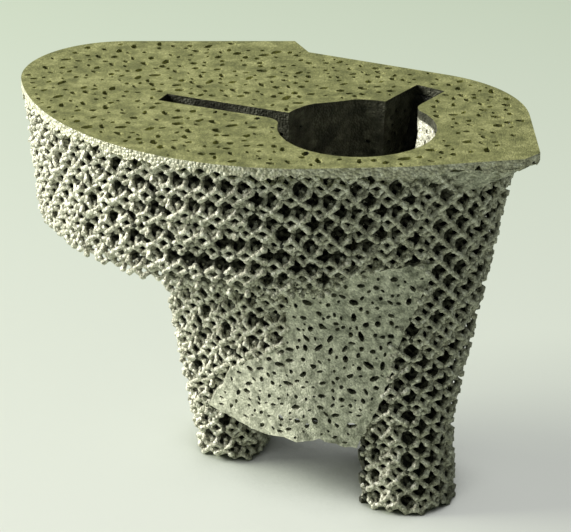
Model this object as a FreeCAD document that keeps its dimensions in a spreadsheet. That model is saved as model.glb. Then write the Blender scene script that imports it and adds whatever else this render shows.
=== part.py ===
import FreeCAD, Part
import Sketcher
import math
import os

# Tibial cone for a revision knee, printed in one piece from porous titanium.
# Frame: X to the right and Y away from the viewer, Z up, in millimetres.
# The origin is at the middle of the top plate's outline, at the level of the feet.

doc = FreeCAD.newDocument("tibial_cone")
Vector = FreeCAD.Vector

# Driving sizes

sheet = doc.addObject("Spreadsheet::Sheet", "sizes")

driving_sizes = [
    ("total_height", 54.0),
    ("plate_length", 71.4),
    ("plate_depth", 50.4),
    ("plate_thickness", 1.3),
    ("medial_radius", 14.5),
    ("front_radius", 40.0),
    ("lateral_radius", 18.5),
    ("lateral_drop", 6.0),
    ("lateral_inset", 0.2),
    ("back_angle", 63.9),
    ("rim_overhang", 0.2),
    ("ledge_length", 24.6),
    ("ledge_chamfer", 2.0),
    ("lip_reach", 21.8),
    ("lip_chamfer", 2.3),
    ("lip_depth", 4.3),
    ("lip_root_inset", 2.4),
    ("lip_front_angle", -58.0),
    ("lip_side_angle", -32.0),
    ("block_height", 19.7),
    ("block_draft", 1.4),
    ("undercut_start", 7.0),
    ("undercut_angle", 38.5),
    ("arch_height", 12.8),
    ("keel_radius", 10.8),
    ("keel_x", 11.7),
    ("keel_y", -10.2),
    ("bore_radius", 8.0),
    ("bore_x", 9.6),
    ("bore_y", -8.9),
    ("bore_top", 26.0),
    ("bore_shoulder", 0.5),
    ("canal_facet", 1.9),
    ("medial_wing_length", 29.3),
    ("medial_wing_width", 2.8),
    ("medial_wing_angle", 156.3),
    ("lateral_wing_length", 18.8),
    ("lateral_wing_width", 4.6),
    ("lateral_wing_angle", 55.0),
    ("wing_root", 8.0),
    ("wing_corner_radius", 2.6),
    ("wing_corner_depth", 15.0),
    ("tongue_radius", 27.6),
    ("tongue_x", 1.0),
    ("tongue_reach", 1.5),
    ("skin_left", 1.0),
    ("skin_right", 12.5),
    ("skin_slant", 18.0),
    ("skin_top", 38.0),
    ("cell_pitch", 3.7),
    ("strut_width", 0.85),
    ("pore_depth", 1.8),
    ("solid_rim", 0.9),
    ("seam_overlap", 0.6),
]

# Lobes of the cone and the legs: centre x, centre y and radius where the cone starts at
# the top plate, where it ends at the arch, and where the leg meets the table

lobe_sizes = [
    ("medial_lobe_top", (-12.3, 0.5, 7.7)),
    ("medial_lobe_arch", (-7.3, -0.3, 5.8)),
    ("medial_lobe_foot", (-5.6, -0.5, 5.2)),
    ("back_lobe_top", (-8.0, 8.0, 7.0)),
    ("back_lobe_arch", (-5.0, 7.0, 5.0)),
    ("back_lobe_foot", (-4.5, 7.0, 4.5)),
    ("canal_lobe_top", (12.0, -9.0, 12.5)),
    ("canal_lobe_arch", (9.0, -8.5, 11.5)),
    ("lateral_lobe_top", (19.8, -7.0, 14.7)),
    ("lateral_lobe_arch", (18.6, -14.5, 7.1)),
    ("lateral_lobe_foot", (19.1, -14.5, 7.1)),
    ("wing_lobe_top", (19.0, -0.5, 12.0)),
    ("wing_lobe_arch", (14.0, -3.0, 8.5)),
    ("heel_lobe_arch", (19.2, -6.5, 6.2)),
    ("heel_lobe_foot", (19.8, -6.5, 6.2)),
]
for name, disc in lobe_sizes:
    driving_sizes += [(f"{name}_{axis}", value) for axis, value in zip(("x", "y", "radius"), disc)]

for row, (alias, value) in enumerate(driving_sizes, start=1):
    sheet.set(f"A{row}", alias)
    sheet.set(f"B{row}", str(value))
    sheet.setAlias(f"B{row}", alias)
doc.recompute()


def size(alias):
    return float(sheet.get(alias))


def lobe(name):
    return size(f"{name}_x"), size(f"{name}_y"), size(f"{name}_radius")


def feature(name, shape):
    made = doc.addObject("Part::Feature", name)
    made.Shape = shape
    return made


total_height = size("total_height")
plate_bottom = total_height - size("plate_thickness")
block_bottom = total_height - size("block_height")
arch_height = size("arch_height")
pore_depth = size("pore_depth")
overlap = size("seam_overlap")
half_length = size("plate_length") / 2
half_depth = size("plate_depth") / 2
medial_radius = size("medial_radius")
front_radius = size("front_radius")
lateral_radius = size("lateral_radius")


def direction(angle):
    return Vector(math.cos(angle), math.sin(angle), 0)


# Plan of the plate: a tight medial arc, a flat arc that runs on from it round the front,
# and the lateral arc. Straight lines join them at the front and at the back.

medial_centre = Vector(medial_radius - half_length, half_depth - medial_radius, 0)
front_centre_y = front_radius - half_depth
centre_rise = front_centre_y - medial_centre.y
centre_step = math.sqrt((front_radius - medial_radius) ** 2 - centre_rise**2)
front_centre = Vector(medial_centre.x + centre_step, front_centre_y, 0)
lateral_centre = Vector(half_length - lateral_radius - size("lateral_inset"), -size("lateral_drop"), 0)

medial_end_angle = math.pi + math.asin(centre_rise / (front_radius - medial_radius))
centre_line = lateral_centre - front_centre
bearing = math.atan2(centre_line.y, centre_line.x)
front_angle = bearing - math.acos((front_radius - lateral_radius) / centre_line.Length)
back_angle = math.radians(size("back_angle"))
back_reach = lateral_centre * direction(back_angle) + lateral_radius


# Walls: a wall's outline at one level is the taut band round a few discs (x, y, radius)


def reach(discs, angle):
    """How far the outline reaches from the origin in the direction of the angle."""
    along = (math.cos(angle), math.sin(angle))
    return max(x * along[0] + y * along[1] + radius for x, y, radius in discs)


def foremost(discs, angle):
    """Index of the disc that the outline touches in the direction of the angle."""
    values = [x * math.cos(angle) + y * math.sin(angle) + r for x, y, r in discs]
    return values.index(max(values))


def facet_angles(discs, width):
    """Directions of the flat facets: each straight stretch between two discs, and the
    steps of about one width round each disc."""
    steps = 720
    turns = []
    for k in range(steps):
        low = 2 * math.pi * k / steps
        high = 2 * math.pi * (k + 1) / steps
        if foremost(discs, low) == foremost(discs, high):
            continue
        for _ in range(30):
            middle = (low + high) / 2
            if foremost(discs, middle) == foremost(discs, low):
                low = middle
            else:
                high = middle
        turns.append(high)
    if not turns:
        count = max(6, round(2 * math.pi * discs[0][2] / width))
        return [2 * math.pi * k / count for k in range(count)]
    angles = []
    for k, start in enumerate(turns):
        end = turns[(k + 1) % len(turns)] + (2 * math.pi if k == len(turns) - 1 else 0)
        radius = discs[foremost(discs, (start + end) / 2)][2]
        count = max(1, round((end - start) * radius / width))
        angles += [start + (end - start) * j / count for j in range(count)]
    return angles


def outline(discs, angles, level):
    """Corners of the outline at one level: corner k lies between facets k - 1 and k."""
    corners = []
    for k, angle in enumerate(angles):
        before = angles[k - 1]
        d1, d2 = reach(discs, before), reach(discs, angle)
        cross = math.sin(angle - before)
        x = (d1 * math.sin(angle) - d2 * math.sin(before)) / cross
        y = (d2 * math.cos(before) - d1 * math.cos(angle)) / cross
        corners.append(Vector(x, y, level))
    return corners


def loop(points):
    return Part.makePolygon(points + [points[0]])


def between(a, b, share):
    return a + (b - a) * share


def facet_corners(low_discs, high_discs, low, high, width):
    """Corners of the lower and the upper outline, with the same facet directions in both."""
    middle_discs = [tuple((a + b) / 2 for a, b in zip(p, q)) for p, q in zip(low_discs, high_discs)]
    angles = facet_angles(middle_discs, width)
    return outline(low_discs, angles, low), outline(high_discs, angles, high)


def porous_wall(low_discs, high_discs, low, high, is_porous):
    """Solid between two outlines. Its flat facets carry a staggered field of diamond pores,
    and what is left between the pores is the net of struts."""
    pitch = size("cell_pitch")
    bottom, top = facet_corners(low_discs, high_discs, low, high, pitch)
    count = len(bottom)

    rim = size("solid_rim")
    half_rows = max(1, int((high - low - 2 * rim) / (pitch / 2)) - 1)
    row_step = (high - low - 2 * rim) / (half_rows + 1)
    columns = []
    for k in range(count):
        n = (k + 1) % count
        width = ((bottom[n] - bottom[k]).Length + (top[n] - top[k]).Length) / 2
        columns.append(max(1, round(width / pitch)))

    def on_facet(k, share, level):
        n = (k + 1) % count
        height = (level - low) / (high - low)
        return between(between(bottom[k], top[k], height), between(bottom[n], top[n], height), share)

    def outward(k):
        n = (k + 1) % count
        normal = (bottom[n] - bottom[k]).cross(top[k] - bottom[k])
        return normal.normalize()

    # A pore's mouth is the cell's diamond, less half a strut on each side
    def half_width(k, level):
        n = (k + 1) % count
        cell = (on_facet(k, 1.0, level) - on_facet(k, 0.0, level)).Length / columns[k]
        across = cell / 2 * row_step / math.hypot(cell / 2, row_step)
        shrink = max(0.0, 1 - size("strut_width") / 2 / across)
        return cell / 2 * shrink, row_step * shrink

    faces = []
    holes = [[] for _ in range(count)]
    left_notches = [[] for _ in range(count)]
    right_notches = [[] for _ in range(count)]

    def pit(corners, normal):
        centre = (corners[1] + corners[3]) * 0.5
        apex = centre - normal * pore_depth
        for j in range(4):
            faces.append(Part.Face(loop([corners[j], corners[(j + 1) % 4], apex])))

    for row in range(half_rows + 1):
        level = low + rim + row_step * (row + 0.5)
        for k in range(count):
            wide, tall = half_width(k, level)
            facet_width = (on_facet(k, 1.0, level) - on_facet(k, 0.0, level)).Length
            first = 0.5 if row % 2 == 0 else 0.0
            for j in range(columns[k] + (1 if first == 0.0 else 0)):
                share = (j + first) / columns[k]
                spot = on_facet(k, share, level)
                if level - tall < low + rim / 2 or level + tall > high - rim / 2:
                    continue
                if not is_porous(spot):
                    continue
                under = on_facet(k, share, level - tall)
                over = on_facet(k, share, level + tall)
                if 0 < share < 1:
                    right = on_facet(k, share + wide / facet_width, level)
                    left = on_facet(k, share - wide / facet_width, level)
                    corners = [under, right, over, left]
                    holes[k].append(loop(corners))
                    pit(corners, outward(k))
                elif share == 0:
                    # The pore lies astride the edge between this facet and the one before
                    before = k - 1
                    its_wide, _ = half_width(before, level)
                    its_width = (on_facet(before, 1.0, level) - on_facet(before, 0.0, level)).Length
                    right = on_facet(k, wide / facet_width, level)
                    left = on_facet(before, 1 - its_wide / its_width, level)
                    left_notches[k].append([under, right, over])
                    right_notches[before].append([under, left, over])
                    pit([under, right, over, left], (outward(k) + outward(before)).normalize())

    for k in range(count):
        n = (k + 1) % count
        rim_points = [bottom[k], bottom[n]]
        for notch in right_notches[k]:
            rim_points += notch
        rim_points += [top[n], top[k]]
        for notch in reversed(left_notches[k]):
            rim_points += reversed(notch)
        faces.append(Part.makeFace([loop(rim_points)] + holes[k], "Part::FaceMakerBullseye"))
    faces.append(Part.Face(loop(bottom)))
    faces.append(Part.Face(loop(top)))

    shell = Part.Shell(faces)
    shell.sewShape()
    solid = Part.Solid(shell)
    if solid.Volume < 0:
        solid.reverse()
    return solid


# Upper block: its discs follow the plan of the plate, and all of them get smaller by the
# draft towards the bottom

back_disc_x = (back_reach - medial_radius - medial_centre.y * math.sin(back_angle)) / math.cos(back_angle)
block_discs = [
    (back_disc_x, medial_centre.y, medial_radius),
    (medial_centre.x, medial_centre.y, medial_radius),
]
front_discs = 6
front_sweep = front_angle + 2 * math.pi - medial_end_angle
for k in range(1, front_discs + 1):
    along = direction(medial_end_angle + front_sweep * k / front_discs)
    centre = front_centre + along * (front_radius - medial_radius)
    block_discs.append((centre.x, centre.y, medial_radius))
block_discs.append((lateral_centre.x, lateral_centre.y, lateral_radius))

draft = size("block_draft")
overhang = size("rim_overhang")
block_high = [(x, y, radius - overhang) for x, y, radius in block_discs]
block_low = [(x, y, radius - draft) for x, y, radius in block_high]
undercut_slope = math.tan(math.radians(size("undercut_angle")))


def undercut_level(x):
    return block_bottom + max(0.0, x - size("undercut_start")) * undercut_slope


def block_is_porous(spot):
    return spot.z > undercut_level(spot.x) + size("cell_pitch") / 2


block = feature("block", porous_wall(block_low, block_high, block_bottom, plate_bottom, block_is_porous))

# Under the lateral half the block gets thinner: a sloping plane rises towards the side

undercut_profile = [
    Vector(size("undercut_start"), -half_length, block_bottom - overlap),
    Vector(size("undercut_start"), -half_length, block_bottom),
    Vector(half_length + overlap, -half_length, undercut_level(half_length + overlap)),
    Vector(half_length + overlap, -half_length, block_bottom - overlap),
]
undercut_depth = Vector(0, half_length * 2, 0)
undercut = feature("undercut", Part.Face(loop(undercut_profile)).extrude(undercut_depth))
trimmed_block = doc.addObject("Part::Cut", "trimmed_block")
trimmed_block.Base = block
trimmed_block.Tool = undercut

# Cone below the block: five lobes, which lean inwards on the way down. In front of the
# canal the cone has a plain skin instead of open struts.

cone_lobes = ["medial_lobe", "canal_lobe", "lateral_lobe", "wing_lobe", "back_lobe"]


lip_low = plate_bottom - size("lip_depth")
skin_slope = math.tan(math.radians(size("skin_slant")))


def cone_is_porous(spot):
    covered_from = min(undercut_level(spot.x), lip_low)
    if spot.z > covered_from - size("cell_pitch") / 2:
        return False
    skin_right = size("skin_right") + (spot.z - arch_height) * skin_slope
    on_skin = size("skin_left") < spot.x < skin_right and spot.y < 0 and spot.z < size("skin_top")
    return not on_skin


cone = feature("cone", porous_wall(
    [lobe(name + "_arch") for name in cone_lobes],
    [lobe(name + "_top") for name in cone_lobes],
    arch_height, plate_bottom, cone_is_porous))

# Legs: the medial and the lateral side of the cone go on down to the table, with an
# open arch between them


def leg_is_porous(spot):
    return spot.z < arch_height - size("cell_pitch") / 2


def leg(name, lobes):
    return feature(name, porous_wall(
        [lobe(each + "_foot") for each in lobes],
        [lobe(each + "_arch") for each in lobes],
        0.0, arch_height + overlap, leg_is_porous))


medial_leg = leg("medial_leg", ["medial_lobe", "back_lobe"])
lateral_leg = leg("lateral_leg", ["lateral_lobe", "heel_lobe"])

# Top plate: the outline of the block with a ledge at the back and a lip at the front corner


def role_plane(body, role):
    return [plane for plane in body.Origin.OriginFeatures if plane.Role == role][0]


front_start = front_centre + direction(front_angle) * front_radius
front_lateral = lateral_centre + direction(front_angle) * lateral_radius
back_lateral = lateral_centre + direction(back_angle) * lateral_radius
side_end = lateral_centre + Vector(lateral_radius, 0, 0)
lip_chamfer = size("lip_chamfer")
lip_front = Vector(half_length - lip_chamfer, -size("lip_reach"), 0)
lip_side = Vector(half_length, lip_chamfer - size("lip_reach"), 0)
ledge_start = medial_centre + Vector(0, medial_radius, 0)
ledge_end = ledge_start + Vector(size("ledge_length"), 0, 0)
step_x = ledge_end.x + size("ledge_chamfer")
step = Vector(step_x, (back_reach - step_x * math.cos(back_angle)) / math.sin(back_angle), 0)

plate = doc.addObject("PartDesign::Body", "top_plate")
plate_sketch = plate.newObject("Sketcher::SketchObject", "plate_outline")
plate_sketch.AttachmentSupport = [(role_plane(plate, "XY_Plane"), "")]
plate_sketch.MapMode = "FlatFace"
plate_sketch.setExpression("AttachmentOffset.Base.z", "sizes.total_height - sizes.plate_thickness")
up = Vector(0, 0, 1)
plate_edges = [
    Part.ArcOfCircle(Part.Circle(medial_centre, up, medial_radius), math.pi / 2, medial_end_angle),
    Part.ArcOfCircle(Part.Circle(front_centre, up, front_radius), medial_end_angle, front_angle + 2 * math.pi),
    Part.LineSegment(front_start, front_lateral),
    Part.LineSegment(front_lateral, lip_front),
    Part.LineSegment(lip_front, lip_side),
    Part.LineSegment(lip_side, side_end),
    Part.ArcOfCircle(Part.Circle(lateral_centre, up, lateral_radius), 0, back_angle),
    Part.LineSegment(back_lateral, step),
    Part.LineSegment(step, ledge_end),
    Part.LineSegment(ledge_end, ledge_start),
]
for edge in plate_edges:
    plate_sketch.addGeometry(edge, False)
medial_arc, front_arc, lateral_arc, ledge_line = 0, 1, 6, 9
origin_geometry = -1
start_point, end_point, centre_point = 1, 2, 3
for k in range(len(plate_edges)):
    following = (k + 1) % len(plate_edges)
    plate_sketch.addConstraint(Sketcher.Constraint("Coincident", k, end_point, following, start_point))


def bound(kind, references, value, expression):
    number = plate_sketch.addConstraint(Sketcher.Constraint(kind, *references, value))
    plate_sketch.setExpression(f"Constraints[{number}]", expression)


bound("Radius", (medial_arc,), medial_radius, "sizes.medial_radius")
bound("Radius", (front_arc,), front_radius, "sizes.front_radius")
bound("Radius", (lateral_arc,), lateral_radius, "sizes.lateral_radius")
bound("DistanceX", (medial_arc, centre_point, origin_geometry, start_point), -medial_centre.x,
      "sizes.plate_length / 2 - sizes.medial_radius")
bound("DistanceY", (origin_geometry, start_point, medial_arc, centre_point), medial_centre.y,
      "sizes.plate_depth / 2 - sizes.medial_radius")
bound("DistanceY", (origin_geometry, start_point, front_arc, centre_point), front_centre.y,
      "sizes.front_radius - sizes.plate_depth / 2")
bound("DistanceX", (origin_geometry, start_point, lateral_arc, centre_point), lateral_centre.x,
      "sizes.plate_length / 2 - sizes.lateral_radius - sizes.lateral_inset")
bound("DistanceY", (lateral_arc, centre_point, origin_geometry, start_point), -lateral_centre.y,
      "sizes.lateral_drop")
bound("DistanceX", (ledge_line, end_point, ledge_line, start_point), size("ledge_length"),
      "sizes.ledge_length")

pad = plate.newObject("PartDesign::Pad", "plate_pad")
pad.Profile = plate_sketch
pad.setExpression("Length", "sizes.plate_thickness")

# The lip is carried by a wedge of the same print, which runs back into the block below it

lip_top = [point + Vector(0, 0, plate_bottom) for point in (front_lateral, lip_front, lip_side, side_end)]
lip_bottom = []
lip_front_angle = math.radians(size("lip_front_angle"))
lip_side_angle = math.radians(size("lip_side_angle"))
for root_angle in (front_angle, lip_front_angle, lip_side_angle, 0):
    root = lateral_centre + direction(root_angle) * (lateral_radius - size("lip_root_inset"))
    lip_bottom.append(root + Vector(0, 0, lip_low))
lip = feature("lip", Part.makeLoft([loop(lip_bottom), loop(lip_top)], True, True))

body = doc.addObject("Part::MultiFuse", "body")
body.Shapes = [trimmed_block, cone, medial_leg, lateral_leg, plate, lip]

# Keel opening: a round canal that narrows to the stem bore, two wing slots whose floors
# rise away from the canal, and a rounded tongue of the plate between them at the back

canal_low, canal_high = facet_corners(
    [(size("bore_x"), size("bore_y"), size("bore_radius") + size("bore_shoulder"))],
    [(size("keel_x"), size("keel_y"), size("keel_radius"))],
    size("bore_top"), total_height, size("canal_facet"))
canal = feature("canal", Part.makeLoft([loop(canal_low), loop(canal_high)], True, True))


def place_on_keel(made, wing):
    """Turn a shape drawn along X into the direction of one keel wing."""
    made.setExpression("Placement.Base.x", "sizes.keel_x")
    made.setExpression("Placement.Base.y", "sizes.keel_y")
    made.setExpression("Placement.Rotation.Angle", f"sizes.{wing}_angle * 1deg")
    return made


def wing_slot(name):
    """Slot of one keel wing: its floor rises from the bore's top to the plate at the tip."""
    length = size(name + "_length")
    width = size(name + "_width")
    profile = [
        Vector(0, -width / 2, total_height),
        Vector(length, -width / 2, total_height),
        Vector(size("wing_root"), -width / 2, size("bore_top")),
        Vector(0, -width / 2, size("bore_top")),
    ]
    slot = Part.Face(loop(profile)).extrude(Vector(0, width, 0))
    return place_on_keel(feature(name, slot), name)


def wing_corner(name, side):
    """Rounding where the front wall of a slot runs out into the canal. The side is +1 or -1,
    for the slot's left or right wall as seen from the canal."""
    radius = size("wing_corner_radius")
    depth = size("wing_corner_depth")
    wall = size(name + "_width") / 2
    reach_out = size("keel_radius") + radius
    centre = Vector(math.sqrt(reach_out**2 - (wall + radius) ** 2), side * (wall + radius), 0)
    corners = [
        Vector(centre.x, side * wall, 0),
        centre,
        centre * (size("keel_radius") / reach_out),
        Vector(size("wing_root"), side * wall / 2, 0),
        Vector(centre.x, side * wall / 2, 0),
    ]
    down = Vector(0, 0, -depth)
    filled = Part.Face(loop(corners)).extrude(down)
    round_part = Part.makeCylinder(radius, depth, centre, down)
    corner = filled.cut(round_part)
    corner.translate(Vector(0, 0, total_height))
    return place_on_keel(feature(name + "_corner", corner), name)


tongue = doc.addObject("Part::Cylinder", "tongue")
tongue.setExpression("Radius", "sizes.tongue_radius")
tongue.setExpression("Height", "sizes.total_height - sizes.bore_top")
tongue.setExpression("Placement.Base.x", "sizes.tongue_x")
tongue.setExpression("Placement.Base.y", "sizes.tongue_radius - sizes.tongue_reach")
tongue.setExpression("Placement.Base.z", "sizes.bore_top")

keel_plan = doc.addObject("Part::MultiFuse", "keel_plan")
keel_plan.Shapes = [
    canal,
    wing_slot("medial_wing"),
    wing_slot("lateral_wing"),
    wing_corner("medial_wing", 1),
    wing_corner("lateral_wing", -1),
]
keel = doc.addObject("Part::Cut", "keel")
keel.Base = keel_plan
keel.Tool = tongue

stem_bore = doc.addObject("Part::Cylinder", "stem_bore")
stem_bore.setExpression("Radius", "sizes.bore_radius")
stem_bore.setExpression("Height", "sizes.bore_top - sizes.arch_height")
stem_bore.setExpression("Placement.Base.x", "sizes.bore_x")
stem_bore.setExpression("Placement.Base.y", "sizes.bore_y")
stem_bore.setExpression("Placement.Base.z", "sizes.arch_height")

# Below the arch the stem passes the lateral leg, which is hollowed a little wider than the bore
leg_relief = doc.addObject("Part::Cylinder", "leg_relief")
leg_relief.setExpression("Radius", "sizes.bore_radius + sizes.bore_shoulder")
leg_relief.setExpression("Height", "sizes.arch_height")
leg_relief.setExpression("Placement.Base.x", "sizes.bore_x")
leg_relief.setExpression("Placement.Base.y", "sizes.bore_y")

opening = doc.addObject("Part::MultiFuse", "opening")
opening.Shapes = [keel, stem_bore, leg_relief]

tibial_cone = doc.addObject("Part::Cut", "tibial_cone")
tibial_cone.Base = body
tibial_cone.Tool = opening
tibial_cone.Label = "tibial_cone"
doc.recompute()

for obj in doc.Objects:
    if "Invalid" in obj.State or "Error" in obj.State:
        raise RuntimeError(f"{obj.Name} failed")
if tibial_cone.Shape.isNull() or not tibial_cone.Shape.isValid():
    raise RuntimeError("tibial_cone is not valid")
if len(tibial_cone.Shape.Solids) != 1:
    raise RuntimeError("tibial_cone is not one solid")

os.makedirs("parts", exist_ok=True)
tibial_cone.Shape.exportStep("parts/tibial_cone.step")
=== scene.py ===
import math
import bmesh
import bpy
import numpy as np
from mathutils import Matrix, Vector, noise


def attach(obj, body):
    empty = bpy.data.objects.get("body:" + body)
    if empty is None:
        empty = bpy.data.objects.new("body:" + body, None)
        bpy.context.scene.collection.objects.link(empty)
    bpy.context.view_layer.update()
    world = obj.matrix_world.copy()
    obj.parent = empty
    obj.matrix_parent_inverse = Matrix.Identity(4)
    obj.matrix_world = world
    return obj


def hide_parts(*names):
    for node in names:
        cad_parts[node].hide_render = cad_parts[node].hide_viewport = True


# Tibial cone, printed from titanium powder. Sizes are in millimetres, in the frame of the
# solid, and every finished piece is brought to metres at the end.

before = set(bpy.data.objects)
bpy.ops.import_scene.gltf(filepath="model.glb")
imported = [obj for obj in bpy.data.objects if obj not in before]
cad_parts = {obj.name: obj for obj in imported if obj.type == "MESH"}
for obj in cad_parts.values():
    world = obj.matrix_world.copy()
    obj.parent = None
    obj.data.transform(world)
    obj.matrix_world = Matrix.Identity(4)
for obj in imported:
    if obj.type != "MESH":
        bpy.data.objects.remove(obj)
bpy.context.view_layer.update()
# Without a seed, vector noise differs from run to run.
NOISE_SEED = 7
noise.seed_set(NOISE_SEED)
NODE = "tibial_cone"
MM = 0.001

# Camera, at the photograph's angle

FOCAL_PIXELS = 2600.0
IMAGE_WIDTH = 571.0
SENSOR = 36.0
CAMERA_PLACE = (0.002, -0.3392, 0.181)
CAMERA_PITCH = 24.16
CAMERA_SEES = (0.01, 20.0)

camera_data = bpy.data.cameras.new("camera")
camera_data.sensor_width = SENSOR
camera_data.lens = FOCAL_PIXELS / IMAGE_WIDTH * SENSOR
camera_data.clip_start, camera_data.clip_end = CAMERA_SEES
camera = bpy.data.objects.new("camera", camera_data)
camera.location = CAMERA_PLACE
camera.rotation_euler = (math.radians(90 - CAMERA_PITCH), 0, 0)
bpy.context.scene.collection.objects.link(camera)
bpy.context.scene.camera = camera

# Sizes of the solid. Bore, canal and tongue are x, y and radius of a disc, and a wing slot is
# its length, width and angle.

TOP = 54.0
PLATE_BOTTOM = 52.7
BLOCK_BOTTOM = 34.3
UNDERCUT_START = 7.0
UNDERCUT_SLOPE = math.tan(math.radians(38.5))
ARCH = 12.8
BORE_TOP = 26.0
BORE_OVERLAP = 1
BORE_RELIEF = 0.5
BORE = (9.6, -8.9, 8.0)
CANAL_LOW = (9.6, -8.9, 8.5)
CANAL_HIGH = (11.7, -10.2, 10.8)
WINGS = [(29.3, 2.8, 156.3), (18.8, 4.6, 55.0)]
WING_ROOT = 8.0
TONGUE = (1.0, 26.1, 27.6)

# Walls: a wall's outline at one level is the taut band round a few discs (x, y, radius).
# The front of the plate and the block is a flat arc, so its discs stand along that arc.

FRONT_ARC = (3.97, 14.8, 40.0)
FRONT_SWEEP = (189.25, 273.2)
FRONT_DISCS = 6
MEDIAL_RADIUS = 14.5
PLATE_DISCS = [(-8.0, 10.7, MEDIAL_RADIUS), (-21.2, 10.7, MEDIAL_RADIUS)]
for turn in np.radians(np.linspace(*FRONT_SWEEP, FRONT_DISCS + 1)[1:]):
    from_arc = FRONT_ARC[2] - MEDIAL_RADIUS
    disc_x, disc_y = FRONT_ARC[0] + from_arc * math.cos(turn), FRONT_ARC[1] + from_arc * math.sin(turn)
    PLATE_DISCS.append((disc_x, disc_y, MEDIAL_RADIUS))
PLATE_DISCS.append((17.0, -6.0, 18.5))
BLOCK_INSET_HIGH = 0.2
BLOCK_INSET_LOW = 1.6
BLOCK_HIGH = [(x, y, radius - BLOCK_INSET_HIGH) for x, y, radius in PLATE_DISCS]
BLOCK_LOW = [(x, y, radius - BLOCK_INSET_LOW) for x, y, radius in PLATE_DISCS]
CONE_HIGH = [(-12.3, 0.5, 7.7), (12.0, -9.0, 12.5), (19.8, -7.0, 14.7), (19.0, -0.5, 12.0),
             (-8.0, 8.0, 7.0)]
CONE_LOW = [(-7.3, -0.3, 5.8), (9.0, -8.5, 11.5), (18.6, -14.5, 7.1), (14.0, -3.0, 8.5),
            (-5.0, 7.0, 5.0)]
MEDIAL_LEG_HIGH = [(-7.3, -0.3, 5.8), (-5.0, 7.0, 5.0)]
MEDIAL_LEG_LOW = [(-5.6, -0.5, 5.2), (-4.5, 7.0, 4.5)]
LATERAL_LEG_HIGH = [(18.6, -14.5, 7.1), (19.2, -6.5, 6.2)]
LATERAL_LEG_LOW = [(19.1, -14.5, 7.1), (19.8, -6.5, 6.2)]
LEGS = [(MEDIAL_LEG_LOW, MEDIAL_LEG_HIGH), (LATERAL_LEG_LOW, LATERAL_LEG_HIGH)]
LEG_OVERLAP = 3.0

# The lattice: the edges of stacked rhombic dodecahedra. It is turned about the upright axis, so
# that the walls cut it at a changing angle. The skin depth is how far the middle of a strut lies
# under the wall, the shell depth how far in struts are made, and the liner how thick the walls
# of the opening are.

CELL = 3.36
LATTICE_TURN = math.radians(25)
LATTICE_PLACE = (6.1, -25.0, 50.7)
STRUT_RADIUS = 0.375
KNOT_RADIUS = 0.54
SHORTEST_STRUT = 0.3
SKIN_DEPTH = 0.42
SHELL_DEPTH = 3.0
INNER_FROM = 0.85
DRAWN_IN = 0.7
DRAWN_TIMES = 2
PAST_WALL = 0.2
INTO_PLATE = 0.5
LINER = 0.8
JITTER = 0.27
ROUGHENED = 0.1
ABOVE_FLOOR = 0.01


# How deep a point lies in a body of the solid

WAY_STEP = 5
WAYS = np.array([(math.cos(turn), math.sin(turn)) for turn in map(math.radians, range(0, 360, WAY_STEP))])


def support(discs):
    """How far the taut band round the discs reaches in each of the directions."""
    return np.array([WAYS @ np.array(disc[:2]) + disc[2] for disc in discs]).max(axis=0)


def depth_in_wall(points, low_discs, high_discs, low, high):
    """Depth under a wall that runs from one taut band to another. It is negative outside."""
    share = np.clip((points[:, 2] - low) / (high - low), 0, 1)[:, None]
    band = (1 - share) * support(low_discs) + share * support(high_discs)
    return (band - points[:, :2] @ WAYS.T).min(axis=1)


def undercut_level(x):
    """Level of the block's slanted lower face."""
    return BLOCK_BOTTOM + np.maximum(0.0, x - UNDERCUT_START) * UNDERCUT_SLOPE


def envelope_depth(points):
    """Depth under the outer walls of the solid. It is negative outside."""
    x, z = points[:, 0], points[:, 2]
    block = np.minimum(depth_in_wall(points, BLOCK_LOW, BLOCK_HIGH, BLOCK_BOTTOM, PLATE_BOTTOM),
                       z - undercut_level(x))
    cone = np.minimum(depth_in_wall(points, CONE_LOW, CONE_HIGH, ARCH, PLATE_BOTTOM), z - ARCH)
    depth = np.maximum(block, cone)
    for low_discs, high_discs in LEGS:
        leg = np.minimum(depth_in_wall(points, low_discs, high_discs, 0.0, ARCH), ARCH + LEG_OVERLAP - z)
        depth = np.maximum(depth, np.minimum(leg, z))
    return depth


def opening_depth(points):
    """Depth inside the canal, the wing slots and the bore. It is negative in the solid."""
    x, y, z = points.T
    share = np.clip((z - BORE_TOP) / (TOP - BORE_TOP), 0, 1)
    low, high = np.array(CANAL_LOW), np.array(CANAL_HIGH)
    disc = low + share[:, None] * (high - low)
    keel = disc[:, 2] - np.hypot(x - disc[:, 0], y - disc[:, 1])
    for length, width, angle in WINGS:
        turn = math.radians(angle)
        along = (x - CANAL_HIGH[0]) * math.cos(turn) + (y - CANAL_HIGH[1]) * math.sin(turn)
        across = (y - CANAL_HIGH[1]) * math.cos(turn) - (x - CANAL_HIGH[0]) * math.sin(turn)
        slope = (TOP - BORE_TOP) / (length - WING_ROOT)
        floor = BORE_TOP + (along - WING_ROOT) * slope
        wing = np.minimum(width / 2 - np.abs(across), (z - floor) / math.hypot(1, slope))
        keel = np.maximum(keel, np.minimum(wing, along))
    keel = np.minimum(keel, np.hypot(x - TONGUE[0], y - TONGUE[1]) - TONGUE[2])
    keel = np.minimum(keel, z - BORE_TOP)
    bore = BORE[2] - np.hypot(x - BORE[0], y - BORE[1])
    bore = np.where(z < ARCH, bore + BORE_RELIEF, bore)
    return np.maximum(keel, np.minimum(bore, BORE_TOP + BORE_OVERLAP - z))


# Materials


def linear(hex_colour):
    """Linear colour from an sRGB hex value."""
    parts = [int(hex_colour[i:i + 2], 16) / 255 for i in (1, 3, 5)]
    return tuple(p / 12.92 if p <= 0.04045 else ((p + 0.055) / 1.055) ** 2.4 for p in parts) + (1.0,)


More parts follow.
